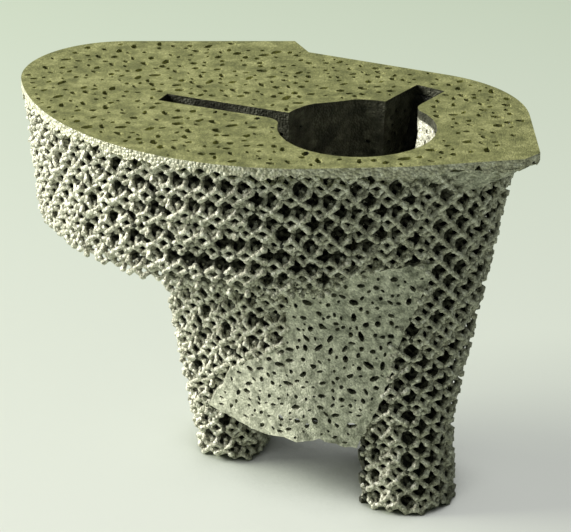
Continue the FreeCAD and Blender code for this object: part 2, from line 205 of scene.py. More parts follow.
def add(tree, kind, links=None, **settings):
    """A node with its settings; links names the socket of each input and what feeds it."""
    node = tree.nodes.new(kind)
    for name, value in settings.items():
        setattr(node, name, value)
    for socket, source in (links or {}).items():
        if isinstance(source, bpy.types.NodeSocket):
            tree.links.new(source, node.inputs[socket])
        else:
            node.inputs[socket].default_value = source
    return node


def new_material(name):
    """An empty material, its tree and the place on the object in metres."""
    material = bpy.data.materials.new(name)
    material.use_nodes = True
    tree = material.node_tree
    tree.nodes.clear()
    place = add(tree, "ShaderNodeTexCoord").outputs["Object"]
    return material, tree, place


def finish_material(tree, shader):
    """Join the shader to the material's output."""
    add(tree, "ShaderNodeOutputMaterial", {"Surface": shader.outputs["BSDF"]})


PATCH_DETAIL = 3.0
PATCH_ROUGHNESS = 0.6
TONE_SPREAD = (0.34, 0.64)
TONE_MIDDLE = 0.5
GRAIN_TONES = (0.64, 1.16)
GRAIN_ROUGHNESS = (0.38, 0.62)
GRAIN_RELIEF = 0.9
METAL_SHARE = 0.35


def sintered_titanium(name, dark, middle, light, grain_mm, grain_depth, patch_mm):
    """Titanium powder melted by an electron beam: half-melted grains stick to every
    surface, so it is matt and rough, with a glint where a grain faces a lamp."""
    material, tree, place = new_material(name)
    patches = add(tree, "ShaderNodeTexNoise",
                  {"Vector": place, "Scale": 1 / (patch_mm * MM), "Detail": PATCH_DETAIL,
                   "Roughness": PATCH_ROUGHNESS})
    grains = add(tree, "ShaderNodeTexVoronoi", {"Vector": place, "Scale": 1 / (grain_mm * MM)})
    tone = add(tree, "ShaderNodeValToRGB", {"Fac": patches.outputs["Fac"]})
    ramp = tone.color_ramp
    ramp.elements[0].position, ramp.elements[0].color = TONE_SPREAD[0], linear(dark)
    ramp.elements[1].position, ramp.elements[1].color = TONE_SPREAD[1], linear(light)
    ramp.elements.new(TONE_MIDDLE).color = linear(middle)
    grain_tone = add(tree, "ShaderNodeMapRange",
                     {"Value": grains.outputs["Color"], "To Min": GRAIN_TONES[0], "To Max": GRAIN_TONES[1]})
    colour = add(tree, "ShaderNodeVectorMath", {0: tone.outputs["Color"], 1: grain_tone.outputs["Result"]},
                 operation="MULTIPLY")
    shine = add(tree, "ShaderNodeMapRange",
                {"Value": grains.outputs["Distance"],
                 "To Min": GRAIN_ROUGHNESS[0], "To Max": GRAIN_ROUGHNESS[1]})
    relief = add(tree, "ShaderNodeBump", {"Height": grains.outputs["Distance"], "Strength": GRAIN_RELIEF,
                                          "Distance": grain_depth * MM}, invert=True)
    shader = add(tree, "ShaderNodeBsdfPrincipled",
                 {"Base Color": colour.outputs["Vector"], "Roughness": shine.outputs["Result"],
                  "Metallic": METAL_SHARE, "Normal": relief.outputs["Normal"]})
    finish_material(tree, shader)
    return material


# Struts at the walls: the lightest; random patches from dull grey to near white are the grains' own tone
# and painted highlight and painted shade, for bright crests and dull bases
strut_titanium = sintered_titanium(
    "sintered_titanium_struts", "#8a897c", "#dcdbca", "#fffef4",
    grain_mm=0.26, grain_depth=0.14, patch_mm=0.75)
# Edge of the plate: light, with coarse crumbs of powder
rim_titanium = sintered_titanium(
    "sintered_titanium_rim", "#b3b19a", "#dcdac6", "#f4f3e4",
    grain_mm=0.42, grain_depth=0.30, patch_mm=1.0)
# Struts behind the walls: dim, because little light reaches them
inner_titanium = sintered_titanium(
    "sintered_titanium_inner", "#33342b", "#46473b", "#5c5d50",
    grain_mm=0.24, grain_depth=0.10, patch_mm=1.6)
# Walls of the canal and the slots: a closed surface, dark with painted shade
canal_shade_titanium = sintered_titanium(
    "sintered_titanium_canal_shade", "#33342a", "#4c4d40", "#68695b",
    grain_mm=0.30, grain_depth=0.12, patch_mm=1.8)
# Plain skin at the front: grey, even and sandy
skin_titanium = sintered_titanium(
    "sintered_titanium_skin", "#8b8d7e", "#c3c4b4", "#e8e8d8",
    grain_mm=0.30, grain_depth=0.12, patch_mm=1.3)
# Top of the plate: the yellow of light that falls on it flat, and fine grains
plate_titanium = sintered_titanium(
    "sintered_titanium_plate", "#8a8d5f", "#a6a873", "#c2c38b",
    grain_mm=0.24, grain_depth=0.06, patch_mm=2.2)
# Painted shade for what lies deepest: nearly black, as the shade in deep pores
deep_shade_titanium = sintered_titanium(
    "sintered_titanium_deep_shade", "#1d1e1a", "#2c2d27", "#3d3e36",
    grain_mm=0.30, grain_depth=0.10, patch_mm=1.6)


# Making pieces


def keep_piece(name, mesh, material, smooth=True):
    """Bring a mesh in millimetres to metres, and hand it over as a piece of the object."""
    mesh.transform(Matrix.Scale(MM, 4))
    mesh.materials.clear()
    mesh.materials.append(material)
    mesh.polygons.foreach_set("use_smooth", [smooth] * len(mesh.polygons))
    mesh.update()
    piece = bpy.data.objects.new(name, mesh)
    bpy.context.scene.collection.objects.link(piece)
    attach(piece, "root")
    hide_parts(NODE)


def mesh_of(bm, name):
    """The mesh that the operators made, which are then done with."""
    mesh = bpy.data.meshes.new(name)
    bm.to_mesh(mesh)
    bm.free()
    return mesh


def applied(mesh, *modifiers):
    """The mesh with modifiers applied, each given as its kind and its settings."""
    carrier = bpy.data.objects.new("carrier", mesh)
    bpy.context.scene.collection.objects.link(carrier)
    for kind, settings in modifiers:
        modifier = carrier.modifiers.new(kind.lower(), kind)
        for key, value in settings.items():
            setattr(modifier, key, value)
    depsgraph = bpy.context.evaluated_depsgraph_get()
    result = bpy.data.meshes.new_from_object(carrier.evaluated_get(depsgraph))
    bpy.data.objects.remove(carrier)
    return result


def with_tool(mesh, tool_mesh, operation):
    """The mesh after a union with the tool, or with the tool cut away."""
    tool = bpy.data.objects.new("tool", tool_mesh)
    bpy.context.scene.collection.objects.link(tool)
    result = applied(mesh, ("BOOLEAN", {"object": tool, "operation": operation, "solver": "EXACT"}))
    bpy.data.objects.remove(tool)
    return result


DISC_SIDES = 40
LEAST_DISC = 0.3
FLAT_ANGLE = 0.002


def taut_body(low_discs, high_discs, low, high, inset):
    """Closed body between the taut bands round two sets of discs, smaller by the inset."""
    bm = bmesh.new()
    for discs, level in ((low_discs, low), (high_discs, high)):
        for x, y, radius in discs:
            bmesh.ops.create_circle(bm, segments=DISC_SIDES, radius=max(radius - inset, LEAST_DISC),
                                    matrix=Matrix.Translation((x, y, level)))
    hull = bmesh.ops.convex_hull(bm, input=bm.verts)
    loose = set(hull["geom_interior"]) | set(hull["geom_unused"])
    bmesh.ops.delete(bm, geom=[e for e in loose if isinstance(e, bmesh.types.BMVert)], context="VERTS")
    bmesh.ops.dissolve_limit(bm, angle_limit=FLAT_ANGLE, verts=bm.verts, edges=bm.edges)
    return bm


# The lattice

SEARCH_SPAN = 80
SEARCH_BOX = (38, 28, -2, 55)
LEVELS_BELOW = 3
LEVELS_ABOVE = 6
SEARCH_MARGIN = 1.5


def lattice_struts():
    """Both ends of every strut that may lie in the walls."""
    half = CELL / 2
    reach = int(SEARCH_SPAN / half)
    steps = np.arange(-reach, reach)
    levels = np.arange(-int(TOP / half) - LEVELS_BELOW, LEVELS_ABOVE)
    corner = np.array(np.meshgrid(steps, steps, levels, indexing="ij")).reshape(3, -1).T
    turn = np.array([[math.cos(LATTICE_TURN), -math.sin(LATTICE_TURN)],
                     [math.sin(LATTICE_TURN), math.cos(LATTICE_TURN)]])

    def place(sites):
        made = sites * half
        made[:, :2] = made[:, :2] @ turn.T
        return made + np.array(LATTICE_PLACE)

    middle_sites = corner + 0.5
    middle = place(middle_sites)
    wide, deep, low, high = SEARCH_BOX
    near = (np.abs(middle[:, 0]) < wide) & (np.abs(middle[:, 1]) < deep)
    near &= (middle[:, 2] > low) & (middle[:, 2] < high)
    middle_sites, corner = middle_sites[near], corner[near]
    depth = envelope_depth(place(middle_sites))
    close = (depth > -SEARCH_MARGIN) & (depth < SHELL_DEPTH + SEARCH_MARGIN)
    middle_sites, corner = middle_sites[close], corner[close]
    starts, ends = [], []
    for offset in np.ndindex(2, 2, 2):
        site = corner + np.array(offset)
        odd = site.sum(axis=1) % 2 == 1
        starts.append(middle_sites[odd])
        ends.append(site[odd].astype(float))
    return place(np.concatenate(starts)), place(np.concatenate(ends))


# A factor inside a call of noise says how quickly it varies, for each millimetre.


def jittered(points, amount):
    """The same small shift for the same lattice site, so that struts still meet."""
    shifts = [noise.noise_vector(Vector(p) * 1.7) for p in points]
    return points + np.array(shifts) * amount


def lattice_depth(points):
    """Room under the outer wall, the plate and the liner of the opening."""
    room = np.minimum(envelope_depth(points) - SKIN_DEPTH, -opening_depth(points) - LINER)
    return np.minimum(room, PLATE_BOTTOM + INTO_PLATE - points[:, 2])


# The plain skin in front of the canal, as seen from the front: x, z. It reaches a little lower
# than the arch behind it.

SKIN_LEFT = [(-6.0, 17.5), (-2.0, 21.5), (1.8, 25.0), (2.4, 36.4)]
SKIN_TOP = [(2.4, 36.4), (12.0, 37.0), (15.6, 38.0), (22.0, 38.8)]
SKIN_RIGHT = [(22.0, 38.8), (20.4, 34.0), (17.5, 27.0), (15.6, 19.0)]
SKIN_LOW = [(12.6, 12.0), (11.9, 10.1), (8.2, 10.5), (6.7, 11.3), (5.6, 10.8), (2.7, 10.2),
            (-1.2, 9.2), (-4.5, 9.0), (-7.0, 9.3), (-9.2, 9.7), (-7.5, 13.0)]

# The struts stop at the skin's sides, which for them run straight down to the arch.

STRUT_CORNERS = (-7.5, 11.5), (12.6, 11.5)
STRUTS_BEHIND = -6
STRUTS_BELOW = 11
INTO_BLOCK = 0.5


def in_skin(points):
    """Whether the skin takes a strut's place here."""
    x, y, z = points.T
    left_x, left_z = np.array([STRUT_CORNERS[0], *SKIN_LEFT]).T
    right_x, right_z = np.array([STRUT_CORNERS[1], *SKIN_RIGHT[::-1]]).T
    top_x, top_z = np.array(SKIN_TOP).T
    between = (x > np.interp(z, left_z, left_x)) & (x < np.interp(z, right_z, right_x))
    below = (z < np.interp(x, top_x, top_z)) & (z < undercut_level(x) + INTO_BLOCK)
    return between & below & (y < STRUTS_BEHIND) & (z > STRUTS_BELOW)


SLOPE_STEP = 0.05
LEAST_SLOPE = 0.5


def drawn_in(points):
    """Points just outside the outer wall are drawn in to it, as the melt closes the net there."""
    room = lattice_depth(points)
    near = (room < 0) & (room > -DRAWN_IN)
    spots = points[near]
    step = SLOPE_STEP
    slopes = [(lattice_depth(spots + step * axis) - lattice_depth(spots - step * axis)) / (2 * step)
              for axis in np.eye(3)]
    slope = np.array(slopes).T
    length = np.maximum(np.linalg.norm(slope, axis=1), LEAST_SLOPE)[:, None]
    points[near] = spots + slope / length**2 * -room[near][:, None]
    return points


starts, ends = lattice_struts()
starts, ends = jittered(starts, JITTER), jittered(ends, JITTER)
for _ in range(DRAWN_TIMES):
    starts, ends = drawn_in(starts), drawn_in(ends)
start_room, end_room = lattice_depth(starts), lattice_depth(ends)
room = np.minimum(start_room, end_room)
kept = (room > -PAST_WALL) & (room < SHELL_DEPTH) & ~(in_skin(starts) & in_skin(ends))
starts, ends, start_room, end_room = starts[kept], ends[kept], start_room[kept], end_room[kept]

# The struts are parted into pieces at a side line, a front line and a level of the cone.

SIDE_LINE = 4
FRONT_LINE = -4
CONE_LINE = 30
BLOCK_LINE = 0.4


def region(point, depth):
    """Name of the piece that a strut belongs to."""
    x, y, z = point
    side = "medial" if x < SIDE_LINE else "lateral"
    if depth > INNER_FROM:
        return f"inner_struts_{'upper' if z > BLOCK_BOTTOM else 'lower'}_{side}"
    if z > undercut_level(x) + BLOCK_LINE:
        return f"block_struts_{side}_{'front' if y < FRONT_LINE else 'back'}"
    if z > ARCH:
        return f"cone_struts_{side}_{'upper' if z > CONE_LINE else 'lower'}"
    return "leg_struts_" + side


def joined(meshes):
    """One mesh from several, which are removed."""
    bm = bmesh.new()
    for mesh in meshes:
        bm.from_mesh(mesh)
        bpy.data.meshes.remove(mesh)
    return mesh_of(bm, "joined")


BATCH = 80
GROUP = 8


def batch_mesh(items, make):
    """One mesh from many small shapes. They are made and joined a batch at a time, because
    each operator takes longer the more the mesh holds."""
    meshes = []
    for first in range(0, len(items), BATCH):
        part = bmesh.new()
        for item in items[first:first + BATCH]:
            make(part, item)
        meshes.append(mesh_of(part, "batch"))
    while len(meshes) > 1:
        meshes = [joined(meshes[i:i + GROUP]) for i in range(0, len(meshes), GROUP)]
    return meshes[0]


STRUT_SIDES = 6


def make_strut(bm, item):
    """Six-sided strut from one end to the other."""
    a, b, radius = item
    way = b - a
    place = Matrix.Translation((a + b) / 2) @ way.to_track_quat("Z", "Y").to_matrix().to_4x4()
    bmesh.ops.create_cone(bm, cap_ends=True, segments=STRUT_SIDES, radius1=radius, radius2=radius,
                          depth=way.length, matrix=place)


def make_knot(bm, item):
    """Lump of melt where struts meet."""
    centre, radius = item
    bmesh.ops.create_icosphere(bm, subdivisions=1, radius=radius, matrix=Matrix.Translation(centre))


# Struts and knots by piece; a knot is made once, however many struts meet in it

STRUT_VARIES = 0.18
KNOT_VARIES = 0.25
SAME_PLACE_DIGITS = 3

regions = {}
knots = {}
for a, b, a_room, b_room in zip(starts, ends, start_room, end_room):
    if np.linalg.norm(b - a) < SHORTEST_STRUT:
        continue
    middle = (a + b) / 2
    where = region(middle, (a_room + b_room) / 2)
    radius = STRUT_RADIUS * (1 + STRUT_VARIES * noise.noise(Vector(middle) * 1.1))
    regions.setdefault(where, []).append((Vector(a), Vector(b), radius))
    for end in (a, b):
        key = tuple(np.round(end, SAME_PLACE_DIGITS))
        size = KNOT_RADIUS * (1 + KNOT_VARIES * noise.noise(Vector(end) * 1.3))
        knots.setdefault(key, (Vector(end), size, where))

knots_by_region = {}
for centre, size, where in knots.values():
    knots_by_region.setdefault(where, []).append((centre, size))

for where in sorted(regions):
    lattice = batch_mesh(regions[where], make_strut)
    if where in knots_by_region:
        lattice = joined([lattice, batch_mesh(knots_by_region[where], make_knot)])
    for vert in lattice.vertices:
        vert.co += noise.noise_vector(vert.co * 2.9) * ROUGHENED
        vert.co.z = max(vert.co.z, ABOVE_FLOOR)
    keep_piece(where, lattice, inner_titanium if where.startswith("inner") else strut_titanium)

# What lies deeper than the struts that are modelled: a body in painted shade, nearly black, which stands
# for the deeper lattice and the shade in its pores

CORE_INSET = 3.3
LEG_CORE_INSET = 2.6
CORE_ABOVE_EDGE = 1.5
CORE_BELOW_PLATE = 0.1
CORE_FROM_OPENING = 0.7
PAST_END = 1
TONGUE_SIDES = 160
TONGUE_HEIGHT = 60
TONGUE_MIDDLE = 40


def opening_tool(grow):
    """Body of the canal, the wing slots and the bore, grown on all sides."""
    canal = taut_body([CANAL_LOW], [CANAL_HIGH], BORE_TOP - grow, TOP + PAST_END, -grow)
    canal = mesh_of(canal, "canal")
    for length, width, angle in WINGS:
        slot = bmesh.new()
        slope = (TOP - BORE_TOP) / (length - WING_ROOT)
        profile = [(0, TOP + PAST_END), (length + PAST_END / slope + grow, TOP + PAST_END),
                   (WING_ROOT + grow, BORE_TOP), (0, BORE_TOP)]
        verts = [slot.verts.new((u, -width / 2 - grow, w)) for u, w in profile]
        face = slot.faces.new(verts)
        made = bmesh.ops.extrude_face_region(slot, geom=[face])
        moved = [v for v in made["geom"] if isinstance(v, bmesh.types.BMVert)]
        bmesh.ops.translate(slot, verts=moved, vec=(0, width + 2 * grow, 0))
        bmesh.ops.recalc_face_normals(slot, faces=slot.faces)
        turn = Matrix.Rotation(math.radians(angle), 4, "Z")
        place = Matrix.Translation((CANAL_HIGH[0], CANAL_HIGH[1], 0)) @ turn
        bmesh.ops.transform(slot, matrix=place, verts=slot.verts)
        canal = with_tool(canal, mesh_of(slot, "slot"), "UNION")
    tongue = bmesh.new()
    radius = TONGUE[2] - grow
    bmesh.ops.create_cone(tongue, cap_ends=True, segments=TONGUE_SIDES, radius1=radius, radius2=radius,
                          depth=TONGUE_HEIGHT,
                          matrix=Matrix.Translation((TONGUE[0], TONGUE[1], TONGUE_MIDDLE)))
    canal = with_tool(canal, mesh_of(tongue, "tongue"), "DIFFERENCE")
    bore = taut_body([BORE], [BORE], ARCH - PAST_END, BORE_TOP + BORE_OVERLAP, -grow)
    relief = taut_body([BORE], [BORE], -2 * PAST_END, ARCH, -grow - BORE_RELIEF)
    canal = with_tool(canal, mesh_of(bore, "bore"), "UNION")
    return with_tool(canal, mesh_of(relief, "relief"), "UNION")


def undercut_block(inset, low, high):
    """The block, smaller by the inset, cut off along its slanted lower face."""
    block = taut_body(BLOCK_LOW, BLOCK_HIGH, low, high, inset)
    normal = Vector((-UNDERCUT_SLOPE, 0, 1)).normalized()
    spot = Vector((UNDERCUT_START, 0, BLOCK_BOTTOM)) + normal * inset
    cut = bmesh.ops.bisect_plane(block, geom=block.verts[:] + block.edges[:] + block.faces[:],
                                 plane_co=spot, plane_no=normal, clear_inner=True)
    rim = [e for e in cut["geom_cut"] if isinstance(e, bmesh.types.BMEdge)]
    bmesh.ops.holes_fill(block, edges=rim, sides=0)
    bmesh.ops.recalc_face_normals(block, faces=block.faces)
    return mesh_of(block, "block")


core = undercut_block(CORE_INSET, BLOCK_BOTTOM + CORE_INSET, PLATE_BOTTOM)
cone_core = taut_body(CONE_LOW, CONE_HIGH, ARCH + CORE_ABOVE_EDGE, PLATE_BOTTOM - CORE_BELOW_PLATE,
                      CORE_INSET)
core = with_tool(core, mesh_of(cone_core, "cone"), "UNION")
for low_discs, high_discs in LEGS:
    leg_core = taut_body(low_discs, high_discs, CORE_ABOVE_EDGE, ARCH + LEG_OVERLAP, LEG_CORE_INSET)
    core = with_tool(core, mesh_of(leg_core, "leg"), "UNION")
core = with_tool(core, opening_tool(CORE_FROM_OPENING), "DIFFERENCE")
keep_piece("lattice_core", core, deep_shade_titanium, smooth=False)

# Top plate: the solid's own top face, made 1.3 mm thick

WELD = 0.002
cad_copy = bmesh.new()
cad_copy.from_mesh(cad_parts[NODE].data)
bmesh.ops.scale(cad_copy, vec=(1 / MM, 1 / MM, 1 / MM), verts=cad_copy.verts)
bmesh.ops.remove_doubles(cad_copy, verts=cad_copy.verts, dist=WELD)


def faces_like(wanted):
    """A copy of the solid's faces that are wanted."""
    part = cad_copy.copy()
    others = [f for f in part.faces if not wanted(f)]
    bmesh.ops.delete(part, geom=others, context="FACES")
    return part


def outline_room(x, y):
    """Distance from the plate's outer outline and from the opening, seen from above."""
    flat = np.array([(x, y, TOP)])
    outer = (support(PLATE_DISCS) - flat[:, :2] @ WAYS.T).min()
    return min(outer, -opening_depth(flat)[0])


PORE_SHIFT = 0.38
PORE_TO_EDGE = 0.3
PORE_TO_PORE = 0.12
PORES_BACK = 90
PORE_SIDES = 7
PORE_RAGGED = 0.35


def pore_field(low, high, step, sizes, stretches, room, seed):
    """Pores on a jittered grid that keep clear of each other and of every edge: centre,
    small radius, stretch and turn of each."""
    draw = np.random.default_rng(seed)
    found = []
    for i, x in enumerate(np.arange(low[0], high[0], step)):
        for y in np.arange(low[1], high[1], step):
            shift = draw.uniform(-PORE_SHIFT, PORE_SHIFT, 2) * step
            size, stretch, turn = draw.uniform(*sizes), draw.uniform(*stretches), draw.uniform(0, math.pi)
            spot = (x + shift[0], y + shift[1] + (i % 2) * step / 2)
            reach = size * stretch
            if room(*spot) < reach + PORE_TO_EDGE:
                continue
            if all(math.dist(spot, other[:2]) > reach + other[2] * other[3] + PORE_TO_PORE
                   for other in found[-PORES_BACK:]):
                found.append((*spot, size, stretch, turn))
    return found


def pore_loop(bm, pore, place=Matrix.Identity(4)):
    """Ragged closed loop of edges round one pore."""
    x, y, size, stretch, turn = pore
    put = place @ Matrix.Translation((x, y, 0)) @ Matrix.Rotation(turn, 4, "Z")
    put = put @ Matrix.Diagonal((stretch, 1, 1, 1))
    ring = bmesh.ops.create_circle(bm, segments=PORE_SIDES, radius=size, matrix=put)["verts"]
    centre = place @ Vector((x, y, 0))
    for vert in ring:
        vert.co = centre + (vert.co - centre) * (1 + PORE_RAGGED * noise.noise(vert.co * 2.3))


def filled(bm):
    """Fill the outlines in the mesh, and leave the loops inside them open."""
    bmesh.ops.triangle_fill(bm, use_beauty=True, use_dissolve=False, edges=bm.edges[:])


LEVEL = 0.01
UPWARD = 0.99
OUTLINE_STEP = 0.7

plate = faces_like(lambda f: f.normal.z > UPWARD and f.calc_center_median().z > TOP - LEVEL)
inner = [e for e in plate.edges if len(e.link_faces) == 2]
bmesh.ops.delete(plate, geom=inner, context="EDGES_FACES")
bmesh.ops.delete(plate, geom=plate.faces[:], context="FACES_ONLY")
for edge in plate.edges[:]:
    cuts = int(edge.calc_length() / OUTLINE_STEP)
    if cuts:
        bmesh.ops.subdivide_edges(plate, edges=[edge], cuts=cuts)
rim_places = {tuple(np.round(v.co[:2], SAME_PLACE_DIGITS)) for v in plate.verts}
PLATE_FIELD = (-36, -26), (36, 26)
PLATE_PORE_STEP = 1.9
PLATE_PORE_SIZES = (0.22, 0.56)
PLATE_PORE_STRETCHES = (1.0, 2.1)
PLATE_PORE_SEED = 11
plate_pores = pore_field(*PLATE_FIELD, PLATE_PORE_STEP, PLATE_PORE_SIZES, PLATE_PORE_STRETCHES,
                         outline_room, PLATE_PORE_SEED)
for pore in plate_pores:
    pore_loop(plate, pore, Matrix.Translation((0, 0, TOP)))
filled(plate)
made = bmesh.ops.extrude_face_region(plate, geom=plate.faces[:])
moved = [v for v in made["geom"] if isinstance(v, bmesh.types.BMVert)]
bmesh.ops.translate(plate, verts=moved, vec=(0, 0, PLATE_BOTTOM - TOP))

# The outline's lower edge hangs down a little, in waves and in crumbs.

RIM_HANG = 0.1
RIM_WAVES = 1.1
RIM_CRUMBS = 0.9
RIM_FROM_OPENING = 1
for vert in moved:
    on_outline = tuple(np.round(vert.co[:2], SAME_PLACE_DIGITS)) in rim_places
    if on_outline and opening_depth(np.array([vert.co]))[0] < -RIM_FROM_OPENING:
        ragged = RIM_WAVES * noise.noise(vert.co * 0.8) + RIM_CRUMBS * noise.noise(vert.co * 2.1)
        vert.co.z -= RIM_HANG + ragged
bmesh.ops.recalc_face_normals(plate, faces=plate.faces)
plate_mesh = mesh_of(plate, "plate")
keep_piece("top_plate", plate_mesh, plate_titanium, smooth=False)

# The plate's outer edge is as light as the struts, and its edge at the opening has the canal's painted
# shade

RIM_SLOT, CANAL_SHADE_SLOT = 1, 2
UPRIGHT = 0.6
AT_OPENING = 0.6
AT_OUTLINE = 0.4
plate_mesh.materials.append(rim_titanium)
plate_mesh.materials.append(canal_shade_titanium)
for polygon in plate_mesh.polygons:
    spot = np.array([polygon.center]) / MM
    if abs(polygon.normal.z) > UPRIGHT:
        continue
    if opening_depth(spot)[0] > -AT_OPENING:
        polygon.material_index = CANAL_SHADE_SLOT
    elif outline_room(*spot[0, :2]) < AT_OUTLINE:
        polygon.material_index = RIM_SLOT

# Walls of the canal, the slots and the bore: a thin skin with a pore here and there

WALL_PORE_STRETCHES = (1.0, 1.5)
NEARLY_FLAT = math.radians(1.0)
LOOK_AHEAD = 0.3
NEAR_OPENING = 1.6
GETS_DEEPER = 0.1
STEEP = 0.9
LEAST_LENGTH = 1e-9


def on_opening(face):
    """Whether the face belongs to the opening: in front of it the opening gets deeper."""
    centre = np.array(face.calc_center_median())
    ahead = centre + LOOK_AHEAD * np.array(face.normal)
    here, there = opening_depth(np.array([centre, ahead]))
    faces_it = here > -NEAR_OPENING and there > here + GETS_DEEPER
    return faces_it and abs(face.normal.z) < STEEP and centre[2] < TOP - LEVEL


def polygon_room(outline):
    """Function that gives how far a point lies inside the outline."""
    corners = np.array(outline)
    sides = np.roll(corners, -1, axis=0) - corners

    def room(x, y):
        to_point = np.array((x, y)) - corners
        squares = np.maximum((sides**2).sum(axis=1), LEAST_LENGTH)
        share = np.clip((to_point * sides).sum(axis=1) / squares, 0, 1)
        nearest = np.hypot(*(to_point - share[:, None] * sides).T).min()
        rises = (corners[:, 1] > y) != (np.roll(corners, -1, axis=0)[:, 1] > y)
        crossing = corners[rises, 0] + (y - corners[rises, 1]) / sides[rises, 1] * sides[rises, 0]
        return nearest if (crossing > x).sum() % 2 else -nearest

    return room


def perforated(face, step, sizes, seed):
    """A flat face as a mesh of its own, with pores in it."""
    across = Vector((-face.normal.y, face.normal.x, 0)).normalized()
    upward = face.normal.cross(across).normalized()
    turn = Matrix((across, upward, face.normal)).transposed().to_4x4()
    place = Matrix.Translation(face.calc_center_median()) @ turn
    flat = [place.inverted() @ loop.vert.co for loop in face.loops]
    made = bmesh.new()
    verts = [made.verts.new(v) for v in flat]
    for k, vert in enumerate(verts):
        made.edges.new((vert, verts[(k + 1) % len(verts)]))
    low, high = np.min([v[:2] for v in flat], axis=0), np.max([v[:2] for v in flat], axis=0)
    room = polygon_room([v[:2] for v in flat])
    for pore in pore_field(low, high, step, sizes, WALL_PORE_STRETCHES, room, seed):
        pore_loop(made, pore)
    filled(made)
    wrong = [f for f in made.faces if f.normal.z < 0]
    bmesh.ops.reverse_faces(made, faces=wrong)
    bmesh.ops.transform(made, matrix=place, verts=made.verts)
    return mesh_of(made, "facet")


def canal_liner(name, wanted, step, sizes, material):
    """The faces of the opening that are wanted, with pores, as a wall of even thickness."""
    faces = faces_like(lambda f: on_opening(f) and wanted(f))
    bmesh.ops.bisect_plane(faces, geom=faces.verts[:] + faces.edges[:] + faces.faces[:],
                           plane_co=(0, 0, PLATE_BOTTOM), plane_no=(0, 0, 1), clear_outer=True)
    bmesh.ops.dissolve_limit(faces, angle_limit=NEARLY_FLAT, verts=faces.verts, edges=faces.edges)
    faces.normal_update()
    facets = [perforated(face, step, sizes, k) for k, face in enumerate(faces.faces)]
    wall = bmesh.new()
    wall.from_mesh(joined(facets))
    bmesh.ops.remove_doubles(wall, verts=wall.verts, dist=LEVEL)
    wall_mesh = applied(mesh_of(wall, name), ("SOLIDIFY", {"thickness": LINER, "offset": -1.0}))
    keep_piece(name, wall_mesh, material, smooth=False)


LATERAL_FROM = 17.0
LATERAL_BEFORE = -2.5
FACING = 0.3


def is_lateral(face):
    """The lateral side of the canal, which the lamp reaches."""
    centre = face.calc_center_median()
    faces_lamp = face.normal.x < -FACING and not is_floor(face)
    return centre.x > LATERAL_FROM and centre.y < LATERAL_BEFORE and faces_lamp


def is_floor(face):
    """The slanted floors of the slots."""
    return face.normal.z > FACING


def is_plain(face):
    """The rest of the opening's walls."""
    return not is_lateral(face) and not is_floor(face)


# The canal walls get painted shade. The lateral side, which the lamp reaches, gets the lighter colour of
# the struts, and the slot floors get the darkest painted shade.
canal_liner("canal_wall", is_plain, step=1.7, sizes=(0.18, 0.42), material=canal_shade_titanium)
canal_liner("canal_wall_lateral", is_lateral, step=1.35, sizes=(0.26, 0.42), material=strut_titanium)
canal_liner("slot_floors", is_floor, step=1.8, sizes=(0.3, 0.6), material=deep_shade_titanium)

# The plain skin in front of the canal

SKIN_THICKNESS = 1.1
SKIN_FROM_WALL = 0.35
SKIN_BUMPS = 0.12
SKIN_EDGE_STEP = 0.9
SKIN_EDGE_RAGGED = 0.5
SKIN_FIELD = (-9, 9), (25, 45)
SKIN_PORE_STEP = 1.05
SKIN_PORE_SIZES = (0.16, 0.46)
SKIN_PORE_STRETCHES = (1.0, 2.2)
SKIN_PORE_SEED = 5
LEAST_FACING = 0.05


def front_y(x, z):
    """The front wall of the cone at this place."""
    share = (z - ARCH) / (PLATE_BOTTOM - ARCH)
    band = (1 - share) * support(CONE_LOW) + share * support(CONE_HIGH)
    facing = WAYS[:, 1] < -LEAST_FACING
    return ((band[facing] - WAYS[facing, 0] * x) / WAYS[facing, 1]).max()


def ragged_line(ends, step, amount):
    """Points along a run of straight stretches, set off a little to either side."""
    points = []
    for (ax, ay), (bx, by) in zip(ends, ends[1:]):
        count = max(1, round(math.dist((ax, ay), (bx, by)) / step))
        for k in range(count):
            spot = Vector((ax + (bx - ax) * k / count, ay + (by - ay) * k / count, 0))
            points.append(spot + noise.noise_vector(spot * 0.9) * amount)
    return [(p.x, p.y) for p in points]


corners = [*SKIN_LOW[-2:], *SKIN_LEFT, *SKIN_TOP[1:], *SKIN_RIGHT[1:], *SKIN_LOW[:-1]]
skin_outline = ragged_line(corners, SKIN_EDGE_STEP, SKIN_EDGE_RAGGED)
skin = bmesh.new()
verts = [skin.verts.new((x, z, 0)) for x, z in skin_outline]
for k, vert in enumerate(verts):
    skin.edges.new((vert, verts[(k + 1) % len(verts)]))
skin_pores = pore_field(*SKIN_FIELD, SKIN_PORE_STEP, SKIN_PORE_SIZES, SKIN_PORE_STRETCHES,
                        polygon_room(skin_outline), SKIN_PORE_SEED)
for pore in skin_pores:
    pore_loop(skin, pore)
filled(skin)
made = bmesh.ops.extrude_face_region(skin, geom=skin.faces[:])
back = {v for v in made["geom"] if isinstance(v, bmesh.types.BMVert)}
for vert in skin.verts:
    x, z = vert.co.x, vert.co.y
    bump = SKIN_BUMPS * noise.noise(Vector((x, z, 3)) * 0.5)
    vert.co = (x, front_y(x, z) + SKIN_FROM_WALL + bump + (SKIN_THICKNESS if vert in back else 0), z)
bmesh.ops.recalc_face_normals(skin, faces=skin.faces)
keep_piece("front_skin", mesh_of(skin, "skin"), skin_titanium, smooth=False)

# The wedge that carries the lip at the front corner of the plate

